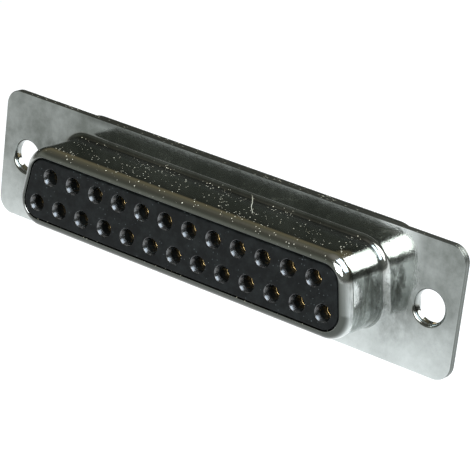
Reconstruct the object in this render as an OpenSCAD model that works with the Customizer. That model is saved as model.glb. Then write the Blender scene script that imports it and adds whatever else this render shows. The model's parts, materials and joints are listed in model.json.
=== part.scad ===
// Two-row D-shaped socket connector with solder cups.
//
// Two drawn steel shells are stacked flange on flange and held together by the collars of the
// two screw holes. Between them they trap a front and a rear insulator, and these trap the
// turned socket contacts by their shoulders.
//
// Frame: the origin is the centre of the flange's front face, midway between the screw holes.
// +X runs along the rows, +Z towards the short row, and the mating side faces -Y.

/* [Contacts] */
// Number of contacts in the long row; the short row has one less
long_row = 13; // [5:1:25]
// Distance between neighbouring contacts in a row
pitch = 2.77; // [2.6:0.01:4]
// Distance between the two rows
row_gap = 2.84; // [2.6:0.01:4]
// Bore that takes the mating pin
socket_bore_d = 1.04; // [0.8:0.02:1.1]
// Wall of the socket's barrel
socket_wall = 0.28; // [0.2:0.01:0.32]
// Depth of the bore in the barrel
socket_bore_depth = 5.2; // [4.2:0.1:5.6]
// Width of the slot that splits the barrel into two tines
slot_w = 0.22; // [0.1:0.02:0.4]
// Length of the slot
slot_length = 3.9; // [2:0.1:4.1]
// How far the shoulder stands out from the barrel
shoulder_step = 0.24; // [0.15:0.01:0.3]
// Thickness of the shoulder
shoulder_t = 0.6; // [0.3:0.05:0.8]

/* [Solder cups] */
// Outer diameter of a solder cup and of the stem that carries it
cup_d = 1.7; // [1.5:0.05:1.8]
// Diameter of the hole that takes the wire
cup_bore_d = 1.2; // [0.9:0.05:1.3]
// How far the cups stand out behind the rear insulator
cup_length = 5.65; // [4.5:0.05:7]
// Depth of the hole for the wire
cup_bore_depth = 3.4; // [2.8:0.1:4]
// Length over which the cup is cut open on its outer side
cup_cut = 2.5; // [1.5:0.1:2.7]

/* [Front shell] */
// Thickness of the steel sheet
sheet = 0.35; // [0.25:0.01:0.38]
// Height of the D-shaped collar above the flange
shell_depth = 5.84; // [5.6:0.02:7]
// Lean of the collar's two ends
lean = 10; // [4:1:14]
// From the centre of the long row's last contact to the collar's end, along the row
end_wall = 2.62; // [2.5:0.01:4]
// From a row's centre line to the outside of the collar's long wall
long_wall = 2.53; // [2.4:0.01:4]
// Outer radius of the collar's corners
corner_r = 2.6; // [2.1:0.1:3]
// Outer radius of the rim where it curls inwards
rim_r = 1.2; // [1:0.05:1.5]
// How far the rim reaches inwards from the collar's outside
rim_lip = 0.88; // [0.7:0.02:0.96]
// Radius between the flange and the collar along its long walls
root_r_long = 0.6; // [0.4:0.05:1.2]
// Radius between the flange and the collar at its ends
root_r_end = 0.7; // [0.4:0.05:1.2]

/* [Flanges] */
// From the collar's long wall to the flange's long edge
flange_margin = 2.325; // [2.25:0.005:4]
// From the collar's end at half height to the centre of a screw hole
hole_margin = 4.53; // [4.4:0.01:6]
// From the centre of a screw hole to the flange's end
flange_end = 3; // [2.6:0.05:5]
// Radius of the flange's corners
flange_corner_r = 1.6; // [0.5:0.1:2.5]
// Diameter of a screw hole
hole_d = 3.05; // [2.6:0.05:3.3]
// Radius of a screw hole's rounded front edge
hole_edge_r = 0.4; // [0.4:0.02:0.6]
// How far a hole's collar is turned over behind the rear flange
clinch = 0.35; // [0.2:0.05:0.5]

/* [Rear shell] */
// How far the rear shell's body stands out around the collar
body_step = 1.3; // [1.15:0.05:1.5]
// From the flange's front face to the body's rear rim
body_depth = 4.15; // [3.8:0.05:8]
// Outer radius of the body's corners
body_corner_r = 2.5; // [2:0.1:3.2]
// Outer radius of the body's rear rim
body_rim_r = 0.7; // [0.6:0.05:0.8]
// How far the rear rim reaches inwards from the body's outside
body_rim_lip = 1.05; // [0.9:0.05:1.2]
// Radius between the rear flange and the body
body_root_r = 0.4; // [0.2:0.05:0.5]

/* [Insulators] */
// Thickness of the front insulator's flange
insulator_flange = 1.2; // [1:0.05:1.6]
// How far the rear insulator stands out of the rear shell
rear_stand = 0.9; // [0.3:0.1:2]
// Diameter of the funnel at a socket's mouth
mouth_d = 1.7; // [1.5:0.05:2]
// Depth of the funnel
mouth_depth = 0.45; // [0.2:0.05:0.5]
// Diameter of the hole below the funnel
throat_d = 1.24; // [1.16:0.02:1.36]
// Thickness of the insulator in front of the contact
throat_depth = 1.4; // [0.6:0.05:1.6]
// Clearance around every piece that sits in another
fit = 0.05; // [0.02:0.01:0.08]

/* [Hidden] */
$fn = 48;
// Steps in each rounded corner of a D, and in each bend of the sheet.
corner_steps = 8;
bend_steps = 6;
// Width of the flat strip that a drawn wall shares with its flange.
lap = 0.3;
// Cutting tools run past the surface that they cut by this much.
over = 0.5;

// A D outline is [width at half height, height, corner radius].
contact_count = 2 * long_row - 1;
shell_h = row_gap + 2 * long_wall;
shell_w = (long_row - 1) * pitch + 2 * end_wall - row_gap * tan(lean);
shell_d = [shell_w, shell_h, corner_r];
body_d = [shell_w + 2 * body_step / cos(lean), shell_h + 2 * body_step, body_corner_r];
hole_x = shell_w / 2 + hole_margin;
flange_size = [2 * (hole_x + flange_end), shell_h + 2 * flange_margin];
hole_r = hole_d / 2;
stack = 2 * sheet;

// Heights in the connector's own frame, where z is zero on the flange's front face and grows
// towards the mating side.
face_z = shell_depth;
barrel_z = face_z - throat_depth - fit;
split_z = -sheet - insulator_flange;
shoulder_z = split_z + shoulder_t;
rear_face_z = -body_depth - rear_stand;
cup_end_z = rear_face_z - cup_length;
barrel_r = socket_bore_d / 2 + socket_wall;
shoulder_r = barrel_r + shoulder_step;

function contact_name(i) = str("contact_", i < 10 ? "0" : "", i);

// The long row is numbered first, from -X to +X, and then the short row.
function contact_xy(i) = i <= long_row
    ? [(i - (long_row + 1) / 2) * pitch, -row_gap / 2]
    : [(i - 3 * long_row / 2) * pitch, row_gap / 2];

// Points on an arc, as [u, z].
function arc(centre, r, from, to, steps) = [
    for (k = [0 : steps])
        let (a = from + (to - from) * k / steps)
        centre + r * [cos(a), sin(a)]
];

// Half width of a D at the centre of a corner that lies at height y: the corner's arc touches
// the leaning end, whose normal points lean degrees above the row.
function corner_x(d, y) = d[0] / 2 - (d[2] + y * sin(lean)) / cos(lean);

// The stations around a D, counter-clockwise, as [corner centre, angle of the outward normal].
function stations(d) = let (
    y = d[1] / 2 - d[2],
    top = corner_x(d, y),
    low = corner_x(d, -y)
) [
    for (c = [
        [[top, y], lean, 90],
        [[-top, y], 90, 180 - lean],
        [[-low, -y], 180 - lean, 270],
        [[low, -y], 270, 360 + lean]
    ])
    for (k = [0 : corner_steps])
        [c[0], c[1] + (c[2] - c[1]) * k / corner_steps]
];

// Outline of a D that is grown outwards by grow(angle).
function grown(d, grow) = [
    for (s = stations(d)) s[0] + (d[2] + grow(s[1])) * [cos(s[1]), sin(s[1])]
];
function inset(d, by) = grown(d, function(a) -by);

// Radius of the root bend at a normal's angle: one value on the long walls, one at the ends.
function root_r(a, long, end) = end + (long - end) * pow(sin(a), 2);

// Section of a drawn wall as a closed loop of [u, z], with u outwards from the wall's outside.
// It starts on the flange, climbs the root bend and the wall, curls in over the rim and comes
// back along the inside of the sheet. A lip longer than the rim's radius ends in a flat.
function wall_section(height, root, rim, lip) = let (
    turn = lip < rim ? acos(1 - lip / rim) : 90,
    rim_centre = [-rim, height - rim * sin(turn)],
    root_centre = [root, root]
) concat(
    [[root + lap, 0]],
    arc(root_centre, root, 270, 180, bend_steps),
    arc(rim_centre, rim, 0, turn, bend_steps),
    lip > rim ? [[-lip, height], [-lip, height - sheet]] : [],
    arc(rim_centre, rim - sheet, turn, 0, bend_steps),
    arc(root_centre, root + sheet, 180, 270, bend_steps),
    [[root + lap, -sheet]]
);

// Carries section(angle) around a D.
module sweep(d, section) {
    st = stations(d);
    n = len(st);
    m = len(section(0));
    points = [
        for (s = st)
        for (p = section(s[1]))
            let (xy = s[0] + (d[2] + p[0]) * [cos(s[1]), sin(s[1])])
            [xy[0], xy[1], p[1]]
    ];
    faces = [
        for (i = [0 : n - 1])
        for (j = [0 : m - 1])
            let (
                i2 = (i + 1) % n,
                j2 = (j + 1) % m,
                a = i * m + j,
                b = i * m + j2,
                c = i2 * m + j2,
                e = i2 * m + j
            )
            each [[a, b, c], [a, c, e]]
    ];
    polyhedron(points, faces);
}

module d_prism(outline, z0, z1) {
    translate([0, 0, z0]) linear_extrude(z1 - z0) polygon(outline);
}

module rod(r, z0, z1) {
    translate([0, 0, z0]) cylinder(r = r, h = z1 - z0);
}

module at_holes() {
    for (side = [-1, 1]) translate([side * hole_x, 0, 0]) children();
}

module at_contacts() {
    for (i = [1 : contact_count]) translate(contact_xy(i)) children();
}

module flange_outline() {
    r = flange_corner_r;
    square(flange_size - [2 * r, 0], center = true);
    square(flange_size - [0, 2 * r], center = true);
    for (sx = [-1, 1], sy = [-1, 1])
        translate([sx * (flange_size[0] / 2 - r), sy * (flange_size[1] / 2 - r)]) circle(r);
}

// One drawn sheet: a flange under z = 0 with its D-shaped wall above it.
module drawn_sheet(d, height, root_long, root_end, rim, lip, hole) {
    root = function(a) root_r(a, root_long, root_end);
    sweep(d, function(a) wall_section(height, root(a), rim, lip));
    translate([0, 0, -sheet]) linear_extrude(sheet) difference() {
        flange_outline();
        polygon(grown(d, function(a) root(a) + lap / 2));
        at_holes() circle(hole);
    }
}

// Section of a screw hole's collar: it rounds in from the front face, passes through both
// flanges and is turned over behind the rear one.
module hole_collar() {
    back = -stack - clinch;
    front_bend = [hole_r + hole_edge_r, -hole_edge_r];
    back_r = clinch / 2;
    lip_end = hole_r + sheet + clinch;
    rotate_extrude() polygon(concat(
        [[hole_r + hole_edge_r + lap, 0]],
        arc(front_bend, hole_edge_r, 90, 180, bend_steps),
        arc([hole_r + back_r, back + back_r], back_r, 180, 270, bend_steps),
        [[lip_end, back], [lip_end, -stack], [hole_r + sheet, -stack]],
        arc(front_bend, hole_edge_r - sheet, 180, 90, 2),
        [[hole_r + hole_edge_r + lap, -sheet]]
    ));
}

// Everything is modelled flat, with the mating side up, and then turned to face -Y.
module turned() {
    rotate([90, 0, 0]) children();
}

module front_shell() color([0.68, 0.70, 0.68]) turned() {
    drawn_sheet(shell_d, shell_depth, root_r_long, root_r_end, rim_r, rim_lip,
        hole_r + hole_edge_r + lap / 2);
    at_holes() hole_collar();
}

module rear_shell() color([0.66, 0.68, 0.66]) turned()
    translate([0, 0, -stack]) mirror([0, 0, 1])
        drawn_sheet(body_d, body_depth - stack, body_root_r, body_root_r, body_rim_r,
            body_rim_lip, hole_r + sheet + fit);

// The nose fills the collar up to its rim, and a flange sits in the mouth of the rear shell.
module front_insulator() color([0.10, 0.11, 0.12]) turned() difference() {
    rim_turn = acos(1 - rim_lip / rim_r);
    rim_edge = rim_r - (rim_r - sheet) * cos(rim_turn);
    union() {
        d_prism(inset(shell_d, sheet + fit), split_z, face_z - rim_r * sin(rim_turn));
        d_prism(inset(shell_d, rim_edge + fit), split_z, face_z);
        d_prism(inset(body_d, sheet + fit), split_z, -sheet);
    }
    at_contacts() {
        translate([0, 0, face_z - mouth_depth])
            cylinder(d1 = throat_d, d2 = mouth_d, h = mouth_depth);
        translate([0, 0, face_z]) cylinder(d = mouth_d, h = over);
        rod(throat_d / 2, split_z, face_z - mouth_depth);
        rod(barrel_r + fit, split_z, face_z - throat_depth);
        rod(shoulder_r + fit, split_z - over, shoulder_z);
    }
}

// It backs the front insulator and steps in to leave through the rear shell's rim.
module rear_insulator() color([0.10, 0.11, 0.12]) turned() difference() {
    union() {
        d_prism(inset(body_d, sheet + fit), -body_depth + body_rim_r, split_z);
        d_prism(inset(body_d, body_rim_r), -body_depth + sheet, split_z);
        d_prism(inset(body_d, body_rim_lip + fit), rear_face_z, split_z);
    }
    at_contacts() rod(cup_d / 2 + fit, rear_face_z - over, split_z + over);
}

// A turned contact: slotted barrel, shoulder, and a stem that ends in a cup for the wire. The
// cup is cut open on the side away from the other row.
module contact(i) color([0.80, 0.62, 0.30]) turned() translate(contact_xy(i)) {
    outer_side = i <= long_row ? -1 : 1;
    difference() {
        union() {
            rod(barrel_r, split_z, barrel_z);
            rod(shoulder_r, split_z, shoulder_z);
            rod(cup_d / 2, cup_end_z, shoulder_z);
        }
        rod(socket_bore_d / 2, barrel_z - socket_bore_depth, barrel_z + over);
        translate([-slot_w / 2, -shoulder_r, barrel_z - slot_length])
            cube([slot_w, 2 * shoulder_r, slot_length + over]);
        rod(cup_bore_d / 2, cup_end_z - over, cup_end_z + cup_bore_depth);
        translate([-cup_d, min(0, outer_side * cup_d), cup_end_z - over])
            cube([2 * cup_d, cup_d, cup_cut + over]);
    }
}

front_shell();
rear_shell();
front_insulator();
rear_insulator();
for (i = [1 : contact_count]) contact(i);
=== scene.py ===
"""The dressed model of a two-row D-shaped socket connector.

Every piece is worked out flat, in millimetres, with z as the height above the flange and y as
up; to_row() then turns it so that the mating side faces -Y. A piece is a set of closed paths,
each with a section carried along it, and flat fills between the paths. In the materials, X, Y
and Z are those of the row frame.
"""

import json
import math

import bmesh
import bpy
import numpy as np
from mathutils import Matrix, Vector
from mathutils.geometry import tessellate_polygon


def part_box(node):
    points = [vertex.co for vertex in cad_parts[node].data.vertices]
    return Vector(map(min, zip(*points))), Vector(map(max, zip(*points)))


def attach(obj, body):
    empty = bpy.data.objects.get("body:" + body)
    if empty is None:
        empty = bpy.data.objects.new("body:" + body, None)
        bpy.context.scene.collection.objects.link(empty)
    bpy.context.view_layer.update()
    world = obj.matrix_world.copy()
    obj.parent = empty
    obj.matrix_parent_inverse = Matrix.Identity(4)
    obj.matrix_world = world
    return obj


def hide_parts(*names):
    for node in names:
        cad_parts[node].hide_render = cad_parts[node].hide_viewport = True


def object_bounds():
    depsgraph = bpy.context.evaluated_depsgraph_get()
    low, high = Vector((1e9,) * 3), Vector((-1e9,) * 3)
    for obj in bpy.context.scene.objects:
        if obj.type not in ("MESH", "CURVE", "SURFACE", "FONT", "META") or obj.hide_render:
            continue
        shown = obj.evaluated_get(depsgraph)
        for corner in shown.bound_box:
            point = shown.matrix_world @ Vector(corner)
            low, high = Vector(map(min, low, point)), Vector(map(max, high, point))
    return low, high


bl_info = {
    "name": "D-sub socket connector",
    "version": (1, 0, 0),
    "blender": (4, 5, 0),
    "location": "View3D > Sidebar > D-sub",
    "description": "Builds the shells, insulators and contacts of a socket connector",
    "category": "Object",
}

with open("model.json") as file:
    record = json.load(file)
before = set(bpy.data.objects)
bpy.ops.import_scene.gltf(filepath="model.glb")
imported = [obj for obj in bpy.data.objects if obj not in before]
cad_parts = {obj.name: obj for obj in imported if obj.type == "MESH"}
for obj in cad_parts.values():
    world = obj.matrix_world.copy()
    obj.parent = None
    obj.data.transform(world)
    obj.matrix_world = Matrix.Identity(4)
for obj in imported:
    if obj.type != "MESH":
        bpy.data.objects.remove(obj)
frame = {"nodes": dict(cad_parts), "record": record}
CAD_LOW, CAD_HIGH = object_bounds()
MM = 0.001
TAU = 2 * math.pi
QUARTER_TURN = np.radians(np.linspace(0, 90, 5))


# ---------------------------------------------------------------- what the frame says

def contact_nodes():
    """Names of the contacts' nodes, the long row first."""
    return sorted(n for n in frame["nodes"] if n.startswith("contact_"))


def contact_centre(node):
    """(x, y) of a contact in millimetres, from the middle of its node's box."""
    low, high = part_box(node)
    return (low.x + high.x) / 2 / MM, (low.z + high.z) / 2 / MM


def mount(name):
    """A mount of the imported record."""
    return next(m for m in frame["record"]["mounts"] if m["name"] == name)


CENTRES = np.array([contact_centre(n) for n in contact_nodes()])
LONG_ROW = CENTRES[CENTRES[:, 1] < 0]
ROW_GAP = CENTRES[:, 1].max() - CENTRES[:, 1].min()
SCREWS = mount("flange_screws")["dims"]
HOLE_X = SCREWS["spacing_x_mm"] / 2
HOLE_R = SCREWS["hole_r_mm"]
FLANGE_W = 2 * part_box("front_shell")[1].x / MM
FLANGE_H = 2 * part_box("front_shell")[1].z / MM
FACE_Z = -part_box("front_shell")[0].y / MM
COLLAR_BACK_Z = -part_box("front_shell")[1].y / MM
BODY_BACK_Z = -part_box("rear_shell")[1].y / MM
SPLIT_Z = -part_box("front_insulator")[1].y / MM
REAR_FACE_Z = -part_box("rear_insulator")[1].y / MM
BARREL_Z = -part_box(contact_nodes()[0])[0].y / MM
CUP_END_Z = -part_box(contact_nodes()[0])[1].y / MM


# ---------------------------------------------------------------- settings

def length(name, description, millimetres):
    """A length that a user may change, shown in the scene's units."""
    return bpy.props.FloatProperty(
        name=name, description=description, default=millimetres * MM, min=0, precision=5,
        unit="LENGTH")


def power(name, description, watts):
    """A lamp's power that a user may change."""
    return bpy.props.FloatProperty(
        name=name, description=description, default=watts, min=0, unit="POWER")


def colour(name, description, value):
    """A linear colour that a user may change."""
    return bpy.props.FloatVectorProperty(
        name=name, description=description, default=value, min=0, max=1, size=3,
        subtype="COLOR")


class ShellSizes(bpy.types.PropertyGroup):
    """The two drawn steel shells."""
    sheet: length("Sheet", "Thickness of the steel sheet", 0.35)
    lean: bpy.props.FloatProperty(
        name="Lean", description="Lean of the collar's two ends",
        default=math.radians(10), subtype="ANGLE")
    end_wall: length("End wall", "Last contact of the long row to the collar's end", 2.62)
    long_wall: length("Long wall", "A row's centre line to the collar's long wall", 2.53)
    corner_r: length("Corner", "Outer radius of the collar's corners", 2.6)
    rim_r: length("Rim", "Outer radius of the curled rim", 1.2)
    rim_lip: length("Rim lip", "How far the rim reaches inwards", 0.88)
    root_long: length("Long root", "Radius at the foot of the long walls", 0.6)
    root_end: length("End root", "Radius at the foot of the end walls", 0.7)
    flange_corner_r: length("Flange corner", "Radius of the flange's corners", 1.6)
    hole_edge_r: length("Hole edge", "Radius of a screw hole's front edge", 0.4)
    clinch: length("Clinch", "How far a hole's collar is turned over behind", 0.35)
    cut_edge: length("Cut edge", "Radius on the sheet's cut edges", 0.07)
    body_step: length("Body step", "How far the rear body stands out around the collar", 1.3)
    body_corner_r: length("Body corner", "Outer radius of the rear body's corners", 2.5)
    body_rim_r: length("Body rim", "Outer radius of the rear body's rim", 0.7)
    body_rim_lip: length("Body rim lip", "How far the rear rim reaches inwards", 1.05)
    body_root_r: length("Body root", "Radius between the rear flange and the body", 0.4)
    fit: length("Fit", "Clearance around every piece that sits in another", 0.05)


class InsulatorSizes(bpy.types.PropertyGroup):
    """The two moulded insulators."""
    edge: length("Edge", "Radius on the moulded edges", 0.12)
    mouth_r: length("Mouth", "Radius of the funnel at a socket's mouth", 0.85)
    mouth_depth: length("Mouth depth", "Depth of the funnel", 0.45)
    mouth_edge: length("Mouth edge", "Radius on the funnel's rim", 0.07)
    throat_r: length("Throat", "Radius of the hole below the funnel", 0.62)
    throat_depth: length("Throat depth", "Thickness in front of the contact", 1.4)
    throat_bend: length("Throat bend", "Radius between the funnel and the throat", 0.1)
    throat_edge: length("Throat edge", "Radius at the throat's inner end", 0.03)


class ContactSizes(bpy.types.PropertyGroup):
    """The turned socket contacts."""
    bore_r: length("Bore", "Radius of the bore for the mating pin", 0.52)
    bore_depth: length("Bore depth", "Depth of that bore", 5.2)
    wall: length("Wall", "Wall of the barrel", 0.28)
    slot: length("Slot", "Width of the slot between the tines", 0.22)
    slot_length: length("Slot length", "Length of the slot", 3.9)
    shoulder_step: length("Shoulder", "How far the shoulder stands out", 0.24)
    shoulder_t: length("Shoulder thickness", "Thickness of the shoulder", 0.6)
    cup_r: length("Cup", "Outer radius of the stem and solder cup", 0.85)
    cup_bore_r: length("Cup bore", "Radius of the hole for the wire", 0.6)
    cup_bore_depth: length("Cup bore depth", "Depth of that hole", 3.4)
    cup_cut: length("Cup cut", "Length over which the cup is cut open", 2.5)
    edge: length("Edge", "Radius on the turned edges", 0.05)


class Finishes(bpy.types.PropertyGroup):
    """Colours of the materials."""
    plate: colour("Plate", "Plated steel", (0.58, 0.61, 0.59))
    # The dull plate colour stands for clouded plating and also for painted shade.
    plate_dull: colour("Dull plate", "Plated steel where it is clouded", (0.132, 0.143, 0.13))
    # This colour is painted shade: on the rim where it faces ahead, beside the collar's ends and
    # along the flange's top edge.
    grime: colour("Grime", "Film on the rim, the smudges and the top edge", (0.05, 0.054, 0.047))
    plastic: colour("Plastic", "Black moulding", (0.005, 0.006, 0.006))
    gold: colour("Gold", "Gold plate on the contacts", (0.74, 0.54, 0.24))
    dust: colour("Dust", "Specks of dust on the steel", (0.72, 0.68, 0.52))
    lint: colour("Lint", "Specks on the moulding", (0.42, 0.5, 0.52))


class StageSettings(bpy.types.PropertyGroup):
    """Floor, lamps and camera."""
    floor_gap: length("Floor gap", "How far the floor lies under the flange", 20)
    floor: colour("Floor", "Colour of the floor", (0.56, 0.56, 0.56))
    lens: length("Lens", "Focal length for a sensor 36 mm wide", 176.58)
    glow: bpy.props.FloatProperty(
        name="Glow", description="How much light the floor adds to what is seen of it",
        default=0.56, min=0)
    key_power: power("Key power", "Power of the lamp behind the part", 0.4)
    strip_power: power("Strip power", "Power of the cool lamp overhead", 1.05)
    front_power: power("Front power", "Power of the lamp in front", 1.295)


class Plain:
    """A group's lengths as plain numbers in millimetres, and its other numbers as they are."""

    def __init__(self, group):
        for name, prop in group.bl_rna.properties.items():
            if prop.type == "FLOAT" and not prop.is_array:
                value = getattr(group, name)
                setattr(self, name, value / MM if prop.unit == "LENGTH" else value)


# ---------------------------------------------------------------- paths and sections

class Path:
    """A closed path of stations: each has a centre, and the angle at which it looks outwards.

    A point at distance u lies at centre + (radius + u) * (cos angle, sin angle).
    """

    def __init__(self, centres, angles, radius=0.0):
        self.centres = np.asarray(centres, float)
        self.angles = np.asarray(angles, float)
        self.radius = radius

    def carry(self, section):
        """Points (stations, section points, 3) of a section (u, z) carried along the path.

        The section is either one for all stations or one for each.
        """
        section = np.broadcast_to(section, (len(self.angles),) + np.shape(section)[-2:])
        reach = self.radius + section[..., 0]
        x = self.centres[:, 0, None] + reach * np.cos(self.angles)[:, None]
        y = self.centres[:, 1, None] + reach * np.sin(self.angles)[:, None]
        return np.stack([x, y, section[..., 1]], axis=-1)


def d_path(width, height, radius, lean, steps=28):
    """The outline of a D: a box whose two ends lean, with four round corners.

    width is taken at half height. A corner's centre lies radius below the long wall, and so far
    in along the row that its arc touches the leaning end.
    """
    y = height / 2 - radius
    top = width / 2 - (radius + y * math.sin(lean)) / math.cos(lean)
    low = width / 2 - (radius - y * math.sin(lean)) / math.cos(lean)
    quarter = math.pi / 2
    corners = (
        ((top, y), lean, quarter),
        ((-top, y), quarter, math.pi - lean),
        ((-low, -y), math.pi - lean, 3 * quarter),
        ((low, -y), 3 * quarter, TAU + lean),
    )
    centres = np.repeat([c[0] for c in corners], steps + 1, axis=0)
    angles = np.concatenate([np.linspace(c[1], c[2], steps + 1) for c in corners])
    return Path(centres, angles, radius)


def circle_path(x, y, steps=48):
    """A circle round (x, y); a section's u is then the distance from its centre."""
    return Path(np.tile((x, y), (steps, 1)), np.arange(steps) * TAU / steps)


def arc(centre, radius, start, end, steps):
    """Points (u, z) on an arc, with angles in degrees."""
    a = np.radians(np.linspace(start, end, steps + 1))
    return np.asarray(centre, float) + radius * np.stack([np.cos(a), np.sin(a)], axis=-1)


def chain(corners, steps=5):
    """A section through corners (u, z, radius), each rounded by an arc that touches both sides.

    The arc's centre lies on the corner's bisector, radius / sin(half the corner's angle) away
    from it. A corner without a radius stays sharp.
    """
    points = np.array([c[:2] for c in corners], float)
    out = [points[:1]]
    for before, here, after, corner in zip(points, points[1:], points[2:], corners[1:-1]):
        radius = corner[2] if len(corner) > 2 else 0
        if not radius:
            out.append(here[None])
            continue
        back = (before - here) / np.linalg.norm(before - here)
        ahead = (after - here) / np.linalg.norm(after - here)
        half = math.acos(np.clip(back @ ahead, -1, 1)) / 2
        bisector = (back + ahead) / np.linalg.norm(back + ahead)
        centre = here + bisector * radius / math.sin(half)
        sweep = math.pi / 2 - half
        t = np.linspace(-sweep, sweep, steps + 1)[:, None]
        side = (ahead - back) / np.linalg.norm(ahead - back)
        out.append(centre - radius * np.cos(t) * bisector + radius * np.sin(t) * side)
    out.append(points[-1:])
    return np.concatenate(out)


def rim_turn(rim, lip):
    """The angle that a rim's arc turns through until it has come in by lip."""
    return math.acos(1 - lip / rim) if lip < rim else math.pi / 2


def drawn_section(root, height, rim, lip, sheet, edge, root_steps=12, rim_steps=14):
    """Section of a drawn wall, from the flange's front to its back.

    It is the root bend, the wall and the rim's arc, a cut edge with both corners rounded, and
    the same bends again on the inside of the sheet. A lip longer than the rim's radius ends in
    a flat.
    """
    turn = rim_turn(rim, lip)
    centre = np.array([-rim, height - rim * math.sin(turn)])
    out = np.array([math.cos(turn), math.sin(turn)])
    along = np.array([-math.sin(turn), math.cos(turn)])
    tip = centre + max(lip - rim, 0) * along - edge * along
    degrees = math.degrees(turn)
    cut_back = 0 if lip > rim else math.degrees(edge / rim)
    a = QUARTER_TURN[:, None]
    nose = tip + (rim - edge) * out + edge * (np.cos(a) * out + np.sin(a) * along)
    heel = tip + (rim - sheet + edge) * out + edge * (np.sin(-a) * out + np.cos(a) * along)
    return np.concatenate([
        arc((root, root), root, 270, 180, root_steps),
        arc(centre, rim, 0, degrees - cut_back, rim_steps)[:-1],
        nose,
        heel,
        arc(centre, rim - sheet, degrees - cut_back, 0, rim_steps)[1:],
        arc((root, root), root + sheet, 180, 270, root_steps),
    ])


def to_row(points):
    """Turns flat millimetres into the row frame: (x, y, z) becomes (x, -z, y), in metres."""
    p = np.asarray(points, float)
    return np.stack([p[..., 0], -p[..., 2], p[..., 1]], axis=-1) * MM


class Skin:
    """A closed mesh made of carried sections, bridges between loops and flat fills."""

    def __init__(self):
        self.points = []
        self.faces = []
        self.count = 0

    def add(self, points):
        """Adds an array of points and returns their numbers in the same arrangement."""
        points = np.asarray(points, float)
        numbers = self.count + np.arange(points[..., 0].size).reshape(points.shape[:-1])
        self.points.append(points.reshape(-1, 3))
        self.count += numbers.size
        return numbers

    def bridge(self, first, second):
        """Quads between two closed loops with as many points each."""
        self.faces += np.stack(
            [first, np.roll(first, -1), np.roll(second, -1), second], axis=-1).tolist()

    def carry(self, path, section):
        """Carries a section round a path, and returns the numbers (stations, section points)."""
        numbers = self.add(path.carry(section))
        for j in range(numbers.shape[1] - 1):
            self.bridge(numbers[:, j], numbers[:, j + 1])
        return numbers

    def rings(self, loops):
        """Quads through a stack of closed loops (loops, points, 3), closed at both ends."""
        numbers = self.add(loops)
        for j in range(len(numbers) - 1):
            self.bridge(numbers[j], numbers[j + 1])
        self.fill([numbers[0]])
        self.fill([numbers[-1]])
        return numbers

    def pole(self, loop, point):
        """A fan of triangles from a closed loop to one point."""
        tip = int(self.add([point])[0])
        self.faces += [[a, b, tip] for a, b in zip(loop.tolist(), np.roll(loop, -1).tolist())]

    def fill(self, loops):
        """A flat fill of the first loop, less the others, as triangles between their points."""
        everything = np.concatenate(self.points)
        outlines = [[Vector(p) for p in everything[loop]] for loop in loops]
        numbers = np.concatenate(loops)
        self.faces += [[int(numbers[i]) for i in t] for t in tessellate_polygon(outlines)]

    def mesh(self, name, shift=(0, 0, 0)):
        """The mesh in the row frame, after a shift in millimetres."""
        mesh = bpy.data.meshes.new(name)
        points = to_row(np.concatenate(self.points) + np.asarray(shift, float))
        mesh.from_pydata(points.tolist(), [], self.faces)
        return mesh


def face_outwards(mesh):
    """Recalculates the normals of a closed mesh so that they point outwards."""
    bm = bmesh.new()
    bm.from_mesh(mesh)
    bmesh.ops.recalc_face_normals(bm, faces=bm.faces)
    bm.to_mesh(mesh)
    bm.free()


def place(mesh, material, slot, *nodes):
    """Makes the object of a finished mesh, which stands for those nodes of the frame."""
    face_outwards(mesh)
    mesh.polygons.foreach_set("use_smooth", np.ones(len(mesh.polygons), bool))
    mesh.set_sharp_from_angle(angle=math.radians(50))
    mesh.materials.append(material)
    piece = bpy.data.objects.new(mesh.name, mesh)
    bpy.context.scene.collection.objects.link(piece)
    weigh = piece.modifiers.new("Weighted normals", "WEIGHTED_NORMAL")
    weigh.keep_sharp = True
    weigh.weight = 90
    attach(piece, "root")
    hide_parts(*nodes)
    return piece


# ---------------------------------------------------------------- materials

def feed(tree, value, socket):
    """Links another node's output to a socket, or gives the socket a plain value."""
    if isinstance(value, bpy.types.NodeSocket):
        tree.links.new(value, socket)
    elif socket.type == "RGBA":
        socket.default_value = (*value, 1)
    else:
        socket.default_value = value


def add_node(tree, kind, inputs=None, **settings):
    """Adds a node; an input may be a plain value or another node's output."""
    node = tree.nodes.new(kind)
    for name, value in settings.items():
        setattr(node, name, value)
    for name, value in (inputs or {}).items():
        feed(tree, value, node.inputs[name])
    return node


def new_material(name):
    """An empty material: its tree, its Principled shader's sockets and its Object coordinates."""
    material = bpy.data.materials.get(name) or bpy.data.materials.new(name)
    material.use_nodes = True
    tree = material.node_tree
    tree.nodes.clear()
    shader = add_node(tree, "ShaderNodeBsdfPrincipled")
    add_node(tree, "ShaderNodeOutputMaterial", {"Surface": shader.outputs["BSDF"]})
    coords = add_node(tree, "ShaderNodeTexCoord").outputs["Object"]
    return material, tree, shader.inputs, coords


def noise(tree, coords, size, detail=3.0, roughness=0.5, stretch=(1, 1, 1)):
    """Noise whose features are about size millimetres; a stretch below 1 draws them out."""
    moved = add_node(tree, "ShaderNodeMapping", {"Vector": coords, "Scale": stretch})
    return add_node(tree, "ShaderNodeTexNoise", {
        "Vector": moved.outputs["Vector"], "Scale": 1 / (size * MM), "Detail": detail,
        "Roughness": roughness}).outputs["Fac"]


def remap(tree, value, source, target=(0, 1)):
    """Maps a value from one range to another, and no further than its ends."""
    return add_node(tree, "ShaderNodeMapRange", {
        "Value": value, "From Min": source[0], "From Max": source[1],
        "To Min": target[0], "To Max": target[1]}).outputs["Result"]


def maths(tree, operation, first, *others):
    """Math nodes of one operation: on a single value, or chained through all in order."""
    if not others:
        return add_node(tree, "ShaderNodeMath", {0: first}, operation=operation).outputs["Value"]
    for other in others:
        node = add_node(tree, "ShaderNodeMath", {0: first, 1: other}, operation=operation)
        first = node.outputs["Value"]
    return first


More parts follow.
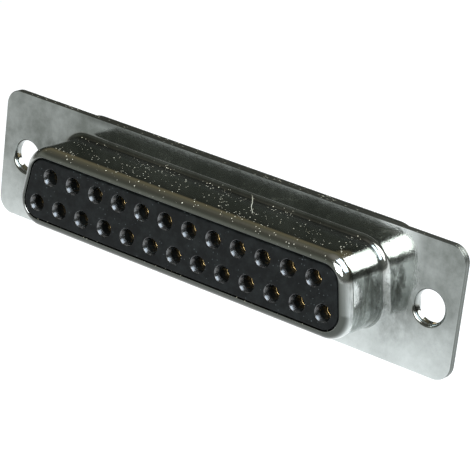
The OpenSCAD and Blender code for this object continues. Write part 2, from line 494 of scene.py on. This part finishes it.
def window(tree, value, rise, fall):
    """0, then 1, then 0 again: it goes up over the range rise and down over the range fall."""
    return maths(tree, "MULTIPLY", remap(tree, value, rise), remap(tree, value, fall, (1, 0)))


def blend_colours(tree, factor, first, second):
    """Mixes two colours, each a plain one or a socket."""
    node = add_node(tree, "ShaderNodeMix", {"Factor": factor}, data_type="RGBA")
    colours = [socket for socket in node.inputs if socket.type == "RGBA"]
    feed(tree, first, colours[0])
    feed(tree, second, colours[1])
    return next(socket for socket in node.outputs if socket.type == "RGBA")


def scaled(tint, factor):
    """A plain colour, lighter or darker by a factor."""
    return tuple(factor * part for part in tint)


def bump(tree, height, distance, strength=1.0, normal=None):
    """A Bump node; distance is in millimetres."""
    inputs = {"Height": height, "Distance": distance * MM, "Strength": strength}
    if normal:
        inputs["Normal"] = normal
    return add_node(tree, "ShaderNodeBump", inputs).outputs["Normal"]


def position(tree, coords):
    """The parts X, Y and Z of a point's place in the row frame, in millimetres."""
    vector = add_node(tree, "ShaderNodeVectorMath", {0: coords, "Scale": 1 / MM}, operation="SCALE")
    return add_node(tree, "ShaderNodeSeparateXYZ", {"Vector": vector.outputs["Vector"]}).outputs


def facing(tree):
    """The parts of the surface's own normal: Z tells how far it faces up, -Y how far ahead."""
    normal = add_node(tree, "ShaderNodeTexCoord").outputs["Normal"]
    return add_node(tree, "ShaderNodeSeparateXYZ", {"Vector": normal}).outputs


def specks(tree, coords, size, cover, grow=0.17):
    """Round specks: 1 near the centres of some of the cells of a Voronoi pattern.

    The cells are about size millimetres wide. A speck's radius is up to grow cells. The share
    of cells with a speck goes from none to twice cover with a broad noise, so the specks lie
    in drifts.
    """
    cells = add_node(tree, "ShaderNodeTexVoronoi", {
        "Vector": coords, "Scale": 1 / (size * MM), "Randomness": 1.0}).outputs
    lot = add_node(tree, "ShaderNodeSeparateColor", {"Color": cells["Color"]}).outputs
    drifts = noise(tree, coords, 7 * size, detail=2)
    chosen = maths(tree, "LESS_THAN", lot["Red"], remap(tree, drifts, (0.38, 0.66), (0, 2 * cover)))
    radius = remap(tree, lot["Green"], (0, 1), (0.3 * grow, grow))
    past = maths(tree, "SUBTRACT", cells["Distance"], radius)
    return maths(tree, "MULTIPLY", chosen, remap(tree, past, (0, 0.04), (1, 0)))


def fibre(tree, spot):
    """A thin pale fibre that lies askew on the long wall: 0.8 on it.

    From the wall's foot to half way up, X goes from 3.7 to 6 millimetres in a straight line,
    plus a sine of the height.
    """
    height = maths(tree, "MULTIPLY", spot["Y"], -1)
    curl = maths(tree, "MULTIPLY", maths(tree, "SINE", maths(tree, "MULTIPLY", height, 2.6)), 0.07)
    track = maths(tree, "ADD", remap(tree, height, (0, 3), (3.7, 6)), curl)
    off = maths(tree, "ABSOLUTE", maths(tree, "SUBTRACT", spot["X"], track))
    return maths(tree, "MULTIPLY", remap(tree, off, (0.02, 0.06), (0.8, 0)),
                 window(tree, height, (-0.1, 0), (2.9, 3)))


def clouding_and_painted_shade(tree, coords, spot, painted_shade_rise):
    """How far the flange is clouded: in patches, plus painted shade that grows from its bottom edge
    up to half height by the given rise, for its darker reflections higher up.

    A painted highlight patch takes it back to bright plate beside the collar's +X end, above the
    middle, where a lamp's reflection falls on the flange.
    """
    clouds = remap(tree, noise(tree, coords, 6), (0.3, 0.7), (-0.12, 0.2))
    mottle = remap(tree, noise(tree, coords, 0.9, 4, 0.65), (0.35, 0.65), (-0.06, 0.06))
    # Painted shade: darker towards half height, for the darker reflections higher on the flange.
    painted_shade_by_height = remap(tree, spot["Z"], (-7, 0), (0, painted_shade_rise))
    cloudy_and_shaded = remap(tree, maths(tree, "ADD", clouds, mottle, painted_shade_by_height), (0, 1))
    on_flange = remap(tree, maths(tree, "ABSOLUTE", spot["Y"]), (0.3, 1), (1, 0.12))
    # Painted highlight: bright plate again where a lamp's reflection falls beside the collar's +X
    # end.
    painted_highlight_patch = maths(tree, "MULTIPLY", window(tree, spot["X"], (17, 19), (20.5, 22.5)),
                      remap(tree, spot["Z"], (0, 1.5), (0, 0.8)))
    return maths(tree, "MULTIPLY", cloudy_and_shaded, on_flange, maths(tree, "SUBTRACT", 1, painted_highlight_patch))


def painted_shade_at_ends(tree, coords, spot):
    """Streaky painted shade beside the collar's two ends, on the flange and low on the wall, where
    the wall meets the flange.
    """
    blotches = remap(tree, noise(tree, coords, 1.1, 5, 0.8, (1, 1, 0.6)), (0.4, 0.6))
    beside = window(tree, maths(tree, "ABSOLUTE", spot["X"]), (18.3, 19.2), (20.2, 23.5))
    low = remap(tree, maths(tree, "ABSOLUTE", spot["Y"]), (1.2, 3.4), (1, 0))
    below = remap(tree, spot["Z"], (-5, -0.5), (0.1, 1))
    above = remap(tree, spot["Z"], (2, 3.6), (1, 0.1))
    return maths(tree, "MULTIPLY", beside, low, below, above, blotches)


def cut_edges(tree, spot, facings):
    """The flange's outer cut edges, where the shears left the plating rough and dull: 1 there."""
    sideways = remap(tree, maths(tree, "ABSOLUTE", facings["Y"]), (0.5, 0.9), (1, 0))
    high = remap(tree, maths(tree, "ABSOLUTE", spot["Z"]), (5.5, 5.7))
    far = remap(tree, maths(tree, "ABSOLUTE", spot["X"]), (25.2, 25.4))
    return maths(tree, "MULTIPLY", sideways, maths(tree, "MAXIMUM", high, far))


def end_bands(tree, coords, facings):
    """Dull and bright bands along Z on the walls that face along the rows."""
    bands = remap(tree, noise(tree, coords, 0.7, 4, 0.6, (1, 1, 0.2)), (0.42, 0.58), (0.05, 0.6))
    return maths(tree, "MULTIPLY", bands,
                 remap(tree, maths(tree, "ABSOLUTE", facings["X"]), (0.6, 0.95)))


def rim_painted_shade(tree, spot, facings):
    """Painted shade on the collar's rim where it faces ahead, but not where it also faces up, for
    its dark reflection of the shadowed floor below.
    """
    near_face = remap(tree, spot["Y"], (-4.8, -4.2), (1, 0))
    ahead = remap(tree, facings["Y"], (-0.75, -0.3), (0.95, 0))
    return maths(tree, "MULTIPLY", near_face, ahead,
                 remap(tree, facings["Z"], (0.05, 0.25), (1, 0)))


def painted_shade_at_top(tree, spot):
    """Painted shade along the flange's top edge, above the collar, that dims its reflection there.
    """
    return maths(tree, "MULTIPLY", remap(tree, spot["Z"], (5.6, 6), (0, 0.5)),
                 remap(tree, maths(tree, "ABSOLUTE", spot["X"]), (15.5, 18), (1, 0)))


def settled_dust(tree, coords, spot, facings):
    """Specks and the fibre on what faces up, and a thin film low on the long wall."""
    grains = maths(tree, "MAXIMUM", specks(tree, coords, size=0.26, cover=0.5, grow=0.2),
                   specks(tree, coords, size=0.5, cover=0.25, grow=0.12))
    loose = maths(tree, "MULTIPLY", maths(tree, "MAXIMUM", grains, fibre(tree, spot)),
                  remap(tree, facings["Z"], (0.3, 0.8), (0.03, 1)))
    dust_film_and_rim_shade = maths(tree, "MULTIPLY", remap(tree, facings["Z"], (0.05, 0.3)),
                 remap(tree, spot["Y"], (-2, -0.8), (0, 0.022)))
    return maths(tree, "MAXIMUM", loose, dust_film_and_rim_shade)


def plating_relief(tree, coords, grain):
    """The plating's relief: broad ripples, short waves, streaks along the draw, and the grain."""
    ripple = noise(tree, coords, 3.5, detail=1)
    waves = noise(tree, coords, 0.45, 2, 0.6)
    streaks = noise(tree, coords, 0.22, 3, 0.6, (1, 1, 0.2))
    normal = bump(tree, ripple, 0.05, 0.3)
    normal = bump(tree, waves, 0.012, 0.5, normal)
    normal = bump(tree, streaks, 0.008, 0.4, normal)
    return bump(tree, grain, 0.004, 0.35, normal)


def plated_steel(finish, name, painted_shade_rise):
    """Bright plating: dulled by clouds, painted shade, bands and cut edges, then darkened further
    by painted shade on the rim, beside the collar's ends and along the top edge, and dusty.

    The painted shade in the clouding thickens by the given rise from the flange's bottom edge to
    half height.
    """
    material, tree, shader, coords = new_material(name)
    spot = position(tree, coords)
    facings = facing(tree)
    # Painted shade beside the collar's two ends.
    end_shade = painted_shade_at_ends(tree, coords, spot)
    # Painted shade on the rim where it faces ahead.
    dust_film_and_rim_shade = rim_painted_shade(tree, spot, facings)
    edges = cut_edges(tree, spot, facings)
    # Clouding, bands and cut edges, with painted shade and a painted highlight patch mixed in.
    dulled_and_shaded = maths(tree, "MAXIMUM", clouding_and_painted_shade(tree, coords, spot, painted_shade_rise), end_shade,
                   end_bands(tree, coords, facings), dust_film_and_rim_shade, edges)
    # Painted shade in that colour: on the rim, beside the collar's ends and along the top edge.
    painted_darkening = maths(tree, "MAXIMUM", maths(tree, "MULTIPLY", dust_film_and_rim_shade, 0.85),
                   maths(tree, "MULTIPLY", end_shade, 0.6), painted_shade_at_top(tree, spot))
    dust = settled_dust(tree, coords, spot, facings)
    grain = noise(tree, coords, 0.1, detail=2)
    plate = blend_colours(tree, dulled_and_shaded, finish.plate, finish.plate_dull)
    plate = blend_colours(tree, painted_darkening, plate, finish.grime)
    feed(tree, blend_colours(tree, dust, plate, finish.dust), shader["Base Color"])
    feed(tree, remap(tree, dust, (0, 1), (1, 0)), shader["Metallic"])
    rough = maths(tree, "ADD", remap(tree, dulled_and_shaded, (0, 1), (0.10, 0.13)),
                  remap(tree, grain, (0.3, 0.7), (-0.03, 0.03)),
                  maths(tree, "MULTIPLY", edges, 0.3), maths(tree, "MULTIPLY", dust, 0.5))
    feed(tree, rough, shader["Roughness"])
    feed(tree, plating_relief(tree, coords, grain), shader["Normal"])
    return material


def black_plastic(finish, name, gloss, ior, roughness, relief):
    """Black moulding with a faint haze and lint on it.

    gloss scales its reflections, and relief is the depth of its fine grain in millimetres.
    """
    material, tree, shader, coords = new_material(name)
    grain = noise(tree, coords, 0.08, 3, 0.6)
    haze = noise(tree, coords, 1.1, 5, 0.72)
    lint = maths(tree, "MAXIMUM", specks(tree, coords, size=0.3, cover=0.3),
                 specks(tree, coords, size=0.6, cover=0.08))
    hazed = blend_colours(tree, remap(tree, haze, (0.42, 0.66)), finish.plastic,
                          scaled(finish.plastic, 2.6))
    feed(tree, blend_colours(tree, maths(tree, "MULTIPLY", lint, 0.2), hazed, finish.lint),
         shader["Base Color"])
    feed(tree, gloss, shader["Specular IOR Level"])
    feed(tree, ior, shader["IOR"])
    feed(tree, remap(tree, haze, (0.3, 0.7), (roughness - 0.05, roughness + 0.05)),
         shader["Roughness"])
    feed(tree, bump(tree, grain, relief, 0.5), shader["Normal"])
    return material


def gold_plate(finish):
    """Gold plate over turned brass, with tarnish in patches and the lathe's fine rings."""
    material, tree, shader, coords = new_material("gold_plate")
    tarnish = noise(tree, coords, 1.2, 4, 0.6)
    rings = add_node(tree, "ShaderNodeTexWave", {
        "Vector": coords, "Scale": 1 / (0.5 * MM), "Distortion": 0.6, "Detail": 2},
        wave_type="BANDS", bands_direction="Y").outputs["Fac"]
    feed(tree, blend_colours(tree, remap(tree, tarnish, (0.45, 0.8), (0, 0.5)), finish.gold,
                             scaled(finish.gold, 0.6)), shader["Base Color"])
    feed(tree, 1, shader["Metallic"])
    feed(tree, remap(tree, tarnish, (0.3, 0.7), (0.2, 0.32)), shader["Roughness"])
    feed(tree, bump(tree, rings, 0.006, 0.4), shader["Normal"])
    return material


def floor_surface(tint, glow):
    """A pale floor that glows to the camera and in reflections, and still takes shadows."""
    material, tree, shader, _ = new_material("floor")
    rays = add_node(tree, "ShaderNodeLightPath").outputs
    seen = maths(tree, "ADD", rays["Is Camera Ray"], rays["Is Glossy Ray"],
                 rays["Is Transmission Ray"])
    feed(tree, tint, shader["Base Color"])
    feed(tree, 0.9, shader["Roughness"])
    feed(tree, (1, 1, 1), shader["Emission Color"])
    feed(tree, maths(tree, "MULTIPLY", maths(tree, "MINIMUM", seen, 1), glow),
         shader["Emission Strength"])
    return material


# ---------------------------------------------------------------- pieces

def collar_size(s):
    """The front collar's width at half height, and its height, worked out from the contacts."""
    run = LONG_ROW[:, 0].max() - LONG_ROW[:, 0].min()
    return run + 2 * s.end_wall - ROW_GAP * math.tan(s.lean), ROW_GAP + 2 * s.long_wall


def collar_path(s):
    """The front collar's outline."""
    width, height = collar_size(s)
    return d_path(width, height, s.corner_r, s.lean)


def body_path(s):
    """The rear body's outline, which stands out around the collar."""
    width, height = collar_size(s)
    return d_path(width + 2 * s.body_step / math.cos(s.lean), height + 2 * s.body_step,
                  s.body_corner_r, s.lean)


def rooted_sections(path, root_long, root_end, **shape):
    """A drawn wall's section at each station.

    The root's radius goes from root_end to root_long with the square of the sine of the angle
    at which the station looks outwards. The section's points are linear in that radius.
    """
    low = drawn_section(root_end, **shape)
    high = drawn_section(root_long, **shape)
    return low + (high - low) * (np.sin(path.angles) ** 2)[:, None, None]


def flange_edge(sheet, front, back):
    """Section of the flange's cut edge, from its front to its back."""
    return chain([(-2 * front, 0), (0, 0, front), (0, -sheet, back), (-2 * back, -sheet)])


def sheet_skin(wall, sections, sheet, edges, corner_r, hole_section):
    """One drawn sheet: the flange's cut edge, its wall, the screw holes, and the two flats."""
    skin = Skin()
    outline = d_path(FLANGE_W, FLANGE_H, corner_r, lean=0, steps=14)
    loops = [skin.carry(outline, flange_edge(sheet, *edges)), skin.carry(wall, sections)]
    for side in (-1, 1):
        loops.append(skin.carry(circle_path(side * HOLE_X, 0, steps=64), hole_section))
    skin.fill([loop[:, 0] for loop in loops])
    skin.fill([loop[:, -1] for loop in loops])
    return skin


def front_collar_section(s):
    """Section of a screw hole's collar, which passes both flanges and is turned over behind."""
    outer = HOLE_R + s.sheet
    turned_over = outer + s.clinch
    under = -2 * s.sheet
    return chain([
        (HOLE_R + 2 * s.hole_edge_r, 0),
        (HOLE_R, 0, s.hole_edge_r),
        (HOLE_R, COLLAR_BACK_Z, s.clinch / 2),
        (turned_over, COLLAR_BACK_Z, s.clinch / 3),
        (turned_over, under, s.clinch / 4),
        (outer, under),
        (outer, -s.sheet, s.hole_edge_r - s.sheet),
        (HOLE_R + 2 * s.hole_edge_r, -s.sheet),
    ], steps=8)


def front_shell_skin(s):
    """The front shell: flange, D collar with its curled rim, and the holes' collars."""
    path = collar_path(s)
    sections = rooted_sections(
        path, s.root_long, s.root_end, height=FACE_Z, rim=s.rim_r, lip=s.rim_lip,
        sheet=s.sheet, edge=s.cut_edge)
    return sheet_skin(path, sections, s.sheet, (s.cut_edge, s.cut_edge / 2),
                      s.flange_corner_r, front_collar_section(s))


def rear_shell_skin(s):
    """The rear shell, worked out like the front one and turned to face backwards."""
    path = body_path(s)
    top = -2 * s.sheet
    sections = rooted_sections(
        path, s.body_root_r, s.body_root_r, height=top - BODY_BACK_Z, rim=s.body_rim_r,
        lip=s.body_rim_lip, sheet=s.sheet, edge=s.cut_edge)
    r = HOLE_R + s.sheet + s.fit
    hole = chain([(r + s.sheet, 0), (r, 0, s.cut_edge), (r, -s.sheet, s.cut_edge),
                  (r + s.sheet, -s.sheet)])
    skin = sheet_skin(path, sections, s.sheet, (s.cut_edge / 2, s.cut_edge),
                      s.flange_corner_r, hole)
    skin.points = [p * (1, 1, -1) + (0, 0, top) for p in skin.points]
    return skin


def socket_section(s, i, c):
    """Section of a contact's hole: funnel, throat, chamber and the seat of the shoulder."""
    chamber = c.bore_r + c.wall + s.fit
    seat = chamber + c.shoulder_step
    seat_z = SPLIT_Z + c.shoulder_t
    throat_z = FACE_Z - i.throat_depth
    return chain([
        (i.mouth_r + 2 * i.mouth_edge, FACE_Z),
        (i.mouth_r, FACE_Z, i.mouth_edge),
        (i.throat_r, FACE_Z - i.mouth_depth, i.throat_bend),
        (i.throat_r, throat_z, i.throat_edge),
        (chamber, throat_z),
        (chamber, seat_z),
        (seat, seat_z),
        (seat, SPLIT_Z),
    ], steps=4)


def front_insulator_skin(s, i, c):
    """The front insulator: a nose that fills the collar, and a flange in the rear body."""
    turn = rim_turn(s.rim_r, s.rim_lip)
    rim_edge = s.rim_r - (s.rim_r - s.sheet) * math.cos(turn) + s.fit
    step_z = FACE_Z - s.rim_r * math.sin(turn)
    inside = s.sheet + s.fit
    skin = Skin()
    nose = skin.carry(collar_path(s), chain([
        (-rim_edge - 2 * i.edge, FACE_Z),
        (-rim_edge, FACE_Z, i.edge),
        (-rim_edge, step_z),
        (-inside, step_z, i.edge),
        (-inside, -s.sheet),
    ]))
    wide = skin.carry(body_path(s), chain([
        (-inside - 2 * i.edge, -s.sheet),
        (-inside, -s.sheet, i.edge),
        (-inside, SPLIT_Z, i.edge),
        (-inside - 2 * i.edge, SPLIT_Z),
    ]))
    skin.bridge(nose[:, -1], wide[:, 0])
    section = socket_section(s, i, c)
    holes = [skin.carry(circle_path(x, y, steps=40), section) for x, y in CENTRES]
    skin.fill([nose[:, 0]] + [hole[:, 0] for hole in holes])
    skin.fill([wide[:, -1]] + [hole[:, -1] for hole in holes])
    return skin


def rear_insulator_skin(s, i, c):
    """The rear insulator: it steps in twice to pass the rear shell's rim."""
    inside = s.sheet + s.fit
    past_lip = s.body_rim_lip + s.fit
    bend_z = BODY_BACK_Z + s.body_rim_r
    rim_z = BODY_BACK_Z + s.sheet
    hole_r = c.cup_r + s.fit
    skin = Skin()
    rim = skin.carry(body_path(s), chain([
        (-inside - 2 * i.edge, SPLIT_Z),
        (-inside, SPLIT_Z, i.edge),
        (-inside, bend_z),
        (-s.body_rim_r, bend_z),
        (-s.body_rim_r, rim_z),
        (-past_lip, rim_z),
        (-past_lip, REAR_FACE_Z, i.edge),
        (-past_lip - 2 * i.edge, REAR_FACE_Z),
    ]))
    section = chain([
        (hole_r, SPLIT_Z),
        (hole_r, REAR_FACE_Z, i.mouth_edge),
        (hole_r + 2 * i.mouth_edge, REAR_FACE_Z),
    ])
    holes = [skin.carry(circle_path(x, y, steps=40), section) for x, y in CENTRES]
    skin.fill([rim[:, 0]] + [hole[:, 0] for hole in holes])
    skin.fill([rim[:, -1]] + [hole[:, -1] for hole in holes])
    return skin


def half_tube(inner, outer, half_gap, edge, side, steps=20):
    """Outline of half a tube, as a closed loop (points, 2).

    It is an outer arc and an inner arc, both ended where they come half_gap from the plane that
    splits the tube, and joined by flats whose corners are cut by edge. side turns it up or down.
    """
    def half_arc(radius):
        start = math.asin(min((half_gap + edge) / radius, 1))
        return arc((0, 0), radius, math.degrees(start), 180 - math.degrees(start), steps)

    flat_out = outer - edge
    flat_in = inner + edge
    far, near = (math.sqrt(r * r - half_gap * half_gap) for r in (flat_out, flat_in))
    loop = np.concatenate([
        half_arc(outer),
        [(-far, half_gap), (-near, half_gap)],
        half_arc(inner)[::-1],
        [(near, half_gap), (far, half_gap)],
    ])
    return loop * (1, side)


def half_tube_rings(inner, outer, half_gap, edge, side, z_foot, z_tip, pull=0.0, levels=8):
    """Half a tube as a stack of loops whose tip is rounded by edge.

    Towards the tip the loops shrink by edge * (1 - cos a) while z nears the tip by
    edge * sin a. pull draws the tip towards the axis with the square of the height.
    """
    a = QUARTER_TURN[1:]
    toward = math.copysign(1, z_tip - z_foot)
    z_straight = np.linspace(z_foot, z_tip - toward * edge, levels)
    z = np.concatenate([z_straight, z_straight[-1] + toward * edge * np.sin(a)])
    shrink = np.concatenate([np.zeros(levels), edge * (1 - np.cos(a))])
    drawn = pull * ((z - z_foot) / (z_tip - z_foot)) ** 2
    loops = [half_tube(inner + i, outer - i, half_gap + i, edge, side) - (0, side * d)
             for i, d in zip(shrink, drawn)]
    flat = np.stack(loops)
    height = np.broadcast_to(z[:, None, None], flat.shape[:2] + (1,))
    return np.concatenate([flat, height], axis=-1)


def contact_skin(s, c, outer_side):
    """A turned contact: solid middle, two tines in front, and a cup cut open on one side.

    The tines and the cup's shell stand in the turned body by overlap. Both bores end in a cone
    that is drill times as deep as their radius, with a pole at its tip.
    """
    barrel = c.bore_r + c.wall
    shoulder = barrel + c.shoulder_step
    shoulder_z = SPLIT_Z + c.shoulder_t
    slot_z = BARREL_Z - c.slot_length
    bore_z = BARREL_Z - c.bore_depth
    cut_z = CUP_END_Z + c.cup_cut
    cup_z = CUP_END_Z + c.cup_bore_depth
    drill = 0.3
    tip_r = 0.02
    overlap = 0.08
    bore_tip_z = bore_z - drill * c.bore_r
    cup_tip_z = cup_z + drill * c.cup_bore_r
    skin = Skin()
    turned = skin.carry(circle_path(0, 0), chain([
        (tip_r, bore_tip_z),
        (c.bore_r, bore_z),
        (c.bore_r, slot_z),
        (barrel, slot_z),
        (barrel, shoulder_z),
        (shoulder, shoulder_z, c.edge),
        (shoulder, SPLIT_Z, c.edge),
        (c.cup_r, SPLIT_Z),
        (c.cup_r, cut_z, c.edge),
        (c.cup_bore_r, cut_z, c.edge),
        (c.cup_bore_r, cup_z),
        (tip_r, cup_tip_z),
    ]))
    skin.pole(turned[:, 0], (0, 0, bore_tip_z))
    skin.pole(turned[:, -1], (0, 0, cup_tip_z))
    for side in (-1, 1):
        half = half_tube_rings(c.bore_r, barrel, c.slot / 2, c.edge, side,
                               slot_z - overlap, BARREL_Z, pull=0.04)
        skin.rings(half[..., [1, 0, 2]])
    skin.rings(half_tube_rings(c.cup_bore_r, c.cup_r, 0.0, c.edge, -outer_side,
                               cut_z + overlap, CUP_END_Z))
    return skin


# ---------------------------------------------------------------- operators

class PieceOperator:
    """What the pieces' operators share."""

    def sizes(self, context):
        """The sizes of the shells, the insulators and the contacts as plain numbers."""
        scene = context.scene
        return Plain(scene.dsub_shell), Plain(scene.dsub_insulator), Plain(scene.dsub_contact)


class DSUB_OT_front_shell(PieceOperator, bpy.types.Operator):
    """Make the front shell"""
    bl_idname = "dsub.front_shell"
    bl_label = "Front shell"

    def execute(self, context):
        s, _, _ = self.sizes(context)
        mesh = front_shell_skin(s).mesh("front_shell_sheet")
        material = plated_steel(context.scene.dsub_finish, "plated_front", painted_shade_rise=0.8)
        place(mesh, material, "plated_steel", "front_shell")
        return {"FINISHED"}


class DSUB_OT_rear_shell(PieceOperator, bpy.types.Operator):
    """Make the rear shell"""
    bl_idname = "dsub.rear_shell"
    bl_label = "Rear shell"

    def execute(self, context):
        s, _, _ = self.sizes(context)
        mesh = rear_shell_skin(s).mesh("rear_shell_sheet")
        material = plated_steel(context.scene.dsub_finish, "plated_rear", painted_shade_rise=0.3)
        place(mesh, material, "plated_steel", "rear_shell")
        return {"FINISHED"}


def polish_mouths(piece, material, i):
    """Gives a glossier material to the faces inside the mouths, as polished core pins leave.

    Those faces lie within a mouth's radius of a contact's centre, from just under the front
    face to a little past the funnel.
    """
    just_under = 0.01
    past_funnel = 0.3
    piece.data.materials.append(material)
    faces = piece.data.polygons
    centres = np.empty(3 * len(faces))
    faces.foreach_get("center", centres)
    centres = centres.reshape(-1, 3) / MM
    offsets = centres[:, None, [0, 2]] - CENTRES[None]
    near = np.linalg.norm(offsets, axis=-1).min(axis=1) < i.mouth_r
    depth = centres[:, 1] + FACE_Z
    inside = near & (depth > just_under) & (depth < i.mouth_depth + past_funnel)
    faces.foreach_set("material_index", inside.astype(np.int32))


class DSUB_OT_insulators(PieceOperator, bpy.types.Operator):
    """Make the front and rear insulators"""
    bl_idname = "dsub.insulators"
    bl_label = "Insulators"

    def execute(self, context):
        s, i, c = self.sizes(context)
        finish = context.scene.dsub_finish
        satin = black_plastic(
            finish, "black_plastic", gloss=0.1, ior=1.5, roughness=0.33, relief=0.012)
        polished = black_plastic(
            finish, "black_polished", gloss=1.0, ior=1.7, roughness=0.24, relief=0.002)
        mesh = front_insulator_skin(s, i, c).mesh("front_insulator_moulding")
        front = place(mesh, satin, "black_plastic", "front_insulator")
        polish_mouths(front, polished, i)
        mesh = rear_insulator_skin(s, i, c).mesh("rear_insulator_moulding")
        place(mesh, satin, "black_plastic", "rear_insulator")
        return {"FINISHED"}


class DSUB_OT_contacts(PieceOperator, bpy.types.Operator):
    """Make the turned socket contacts"""
    bl_idname = "dsub.contacts"
    bl_label = "Contacts"

    def execute(self, context):
        s, _, c = self.sizes(context)
        material = gold_plate(context.scene.dsub_finish)
        skins = {side: contact_skin(s, c, side) for side in (-1, 1)}
        for node in contact_nodes():
            x, y = contact_centre(node)
            mesh = skins[1 if y > 0 else -1].mesh(node + "_turned", (x, y, 0))
            place(mesh, material, "plated_brass", node)
        return {"FINISHED"}


def lamp(name, watts, width, height, spot, tint=(1, 1, 1)):
    """An area lamp of a width and height at a spot, in millimetres; it looks at the origin."""
    data = bpy.data.lights.new(name, "AREA")
    data.shape = "RECTANGLE"
    data.size = width * MM
    data.size_y = height * MM
    data.energy = watts
    data.color = tint
    light = bpy.data.objects.new(name, data)
    light.location = Vector(spot) * MM
    light.rotation_mode = "QUATERNION"
    light.rotation_quaternion = (-Vector(spot)).normalized().to_track_quat("-Z", "Y")
    light.visible_camera = False
    bpy.context.scene.collection.objects.link(light)


# The studio's colours behind the part and ahead of it, by the height that is looked at: 0 is
# level and 1 is straight up. Behind, a dark wall stands under a warm ceiling.
BEHIND = (
    (0.00, (0.30, 0.30, 0.28)), (0.12, (0.032, 0.033, 0.025)), (0.38, (0.032, 0.033, 0.025)),
    (0.49, (0.12, 0.102, 0.065)), (0.68, (0.185, 0.16, 0.10)), (0.82, (0.14, 0.13, 0.09)),
    (1.00, (0.30, 0.28, 0.25)))
AHEAD = (
    (0.00, (0.30, 0.30, 0.29)), (0.10, (0.14, 0.145, 0.13)), (0.24, (0.17, 0.175, 0.155)),
    (0.36, (0.20, 0.205, 0.18)), (0.49, (0.14, 0.144, 0.12)), (0.62, (0.085, 0.086, 0.07)),
    (0.80, (0.09, 0.085, 0.068)), (1.00, (0.30, 0.28, 0.25)))


def colour_ramp(tree, value, stops):
    """A ramp of colours: stops are (value, linear colour)."""
    ramp = add_node(tree, "ShaderNodeValToRGB", {"Fac": value})
    elements = ramp.color_ramp.elements
    while len(elements) < len(stops):
        elements.new(0.5)
    for element, (at, tint) in zip(elements, stops):
        element.position = at
        element.color = (*tint, 1)
    return ramp.outputs["Color"]


def studio_world():
    """A dim studio, whose two ramps of colour blend into each other at the part's sides."""
    world = bpy.data.worlds.new("studio")
    world.use_nodes = True
    tree = world.node_tree
    way = add_node(tree, "ShaderNodeTexCoord").outputs["Generated"]
    way = add_node(tree, "ShaderNodeSeparateXYZ", {"Vector": way}).outputs
    colours = blend_colours(
        tree, remap(tree, way["Y"], (-0.3, 0.3)), colour_ramp(tree, way["Z"], AHEAD),
        colour_ramp(tree, way["Z"], BEHIND))
    feed(tree, colours, tree.nodes["Background"].inputs["Color"])
    return world


def make_camera(lens):
    """The camera looks down on the mating side from the right, slightly rolled."""
    data = bpy.data.cameras.new("camera")
    data.sensor_width = 36
    data.lens = lens
    data.clip_start = 0.01
    camera = bpy.data.objects.new("camera", data)
    spot = Vector((116.78, -160.44, 72.42)) * MM
    right = Vector((0.7848, 0.6098, 0.1105))
    forward = Vector((-0.5452, 0.7641, -0.3450))
    up = right.cross(forward)
    axes = Matrix((right, up, -forward)).transposed()
    camera.matrix_world = Matrix.Translation(spot) @ axes.to_4x4()
    bpy.context.scene.collection.objects.link(camera)
    bpy.context.scene.camera = camera


def make_floor(z, material):
    """A square floor at a height in metres, 3 m wide."""
    half = 1.5
    mesh = bpy.data.meshes.new("floor")
    mesh.from_pydata([(-half, -half, z), (half, -half, z), (half, half, z), (-half, half, z)],
                     [], [(0, 1, 2, 3)])
    mesh.materials.append(material)
    floor = bpy.data.objects.new("floor", mesh)
    bpy.context.scene.collection.objects.link(floor)


class DSUB_OT_stage(bpy.types.Operator):
    """Make the floor, the lamps, the world and the camera"""
    bl_idname = "dsub.stage"
    bl_label = "Stage"

    def execute(self, context):
        scene = context.scene
        settings = scene.dsub_stage
        stage = Plain(settings)
        scene.view_settings.view_transform = "Standard"
        make_floor(CAD_LOW.z - stage.floor_gap * MM, floor_surface(settings.floor, stage.glow))
        lamp("key", stage.key_power, 150, 150, (99, 229, 159))
        lamp("strip", stage.strip_power, 190, 270, (160, -14, 258), tint=(0.75, 0.87, 1))
        lamp("front", stage.front_power, 240, 240, (130, -304, 212))
        scene.world = studio_world()
        make_camera(stage.lens)
        return {"FINISHED"}


OPERATORS = (
    DSUB_OT_stage, DSUB_OT_front_shell, DSUB_OT_rear_shell, DSUB_OT_insulators,
    DSUB_OT_contacts)
SETTINGS = {
    "dsub_shell": ShellSizes, "dsub_insulator": InsulatorSizes, "dsub_contact": ContactSizes,
    "dsub_finish": Finishes, "dsub_stage": StageSettings}


class DSUB_PT_panel(bpy.types.Panel):
    """The pieces of the connector"""
    bl_label = "D-sub connector"
    bl_idname = "DSUB_PT_panel"
    bl_space_type = "VIEW_3D"
    bl_region_type = "UI"
    bl_category = "D-sub"

    def draw(self, context):
        for operator in OPERATORS:
            self.layout.operator(operator.bl_idname)


CLASSES = (*SETTINGS.values(), *OPERATORS, DSUB_PT_panel)


def register():
    """Registers the classes and gives each scene its settings."""
    for cls in CLASSES:
        bpy.utils.register_class(cls)
    for name, group in SETTINGS.items():
        setattr(bpy.types.Scene, name, bpy.props.PointerProperty(type=group))


def unregister():
    """Takes all of that away again."""
    for name in SETTINGS:
        delattr(bpy.types.Scene, name)
    for cls in reversed(CLASSES):
        bpy.utils.unregister_class(cls)


def main():
    """Registers the add-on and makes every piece."""
    register()
    for operator in OPERATORS:
        category, name = operator.bl_idname.split(".")
        getattr(getattr(bpy.ops, category), name)()


if __name__ == "__main__":
    main()
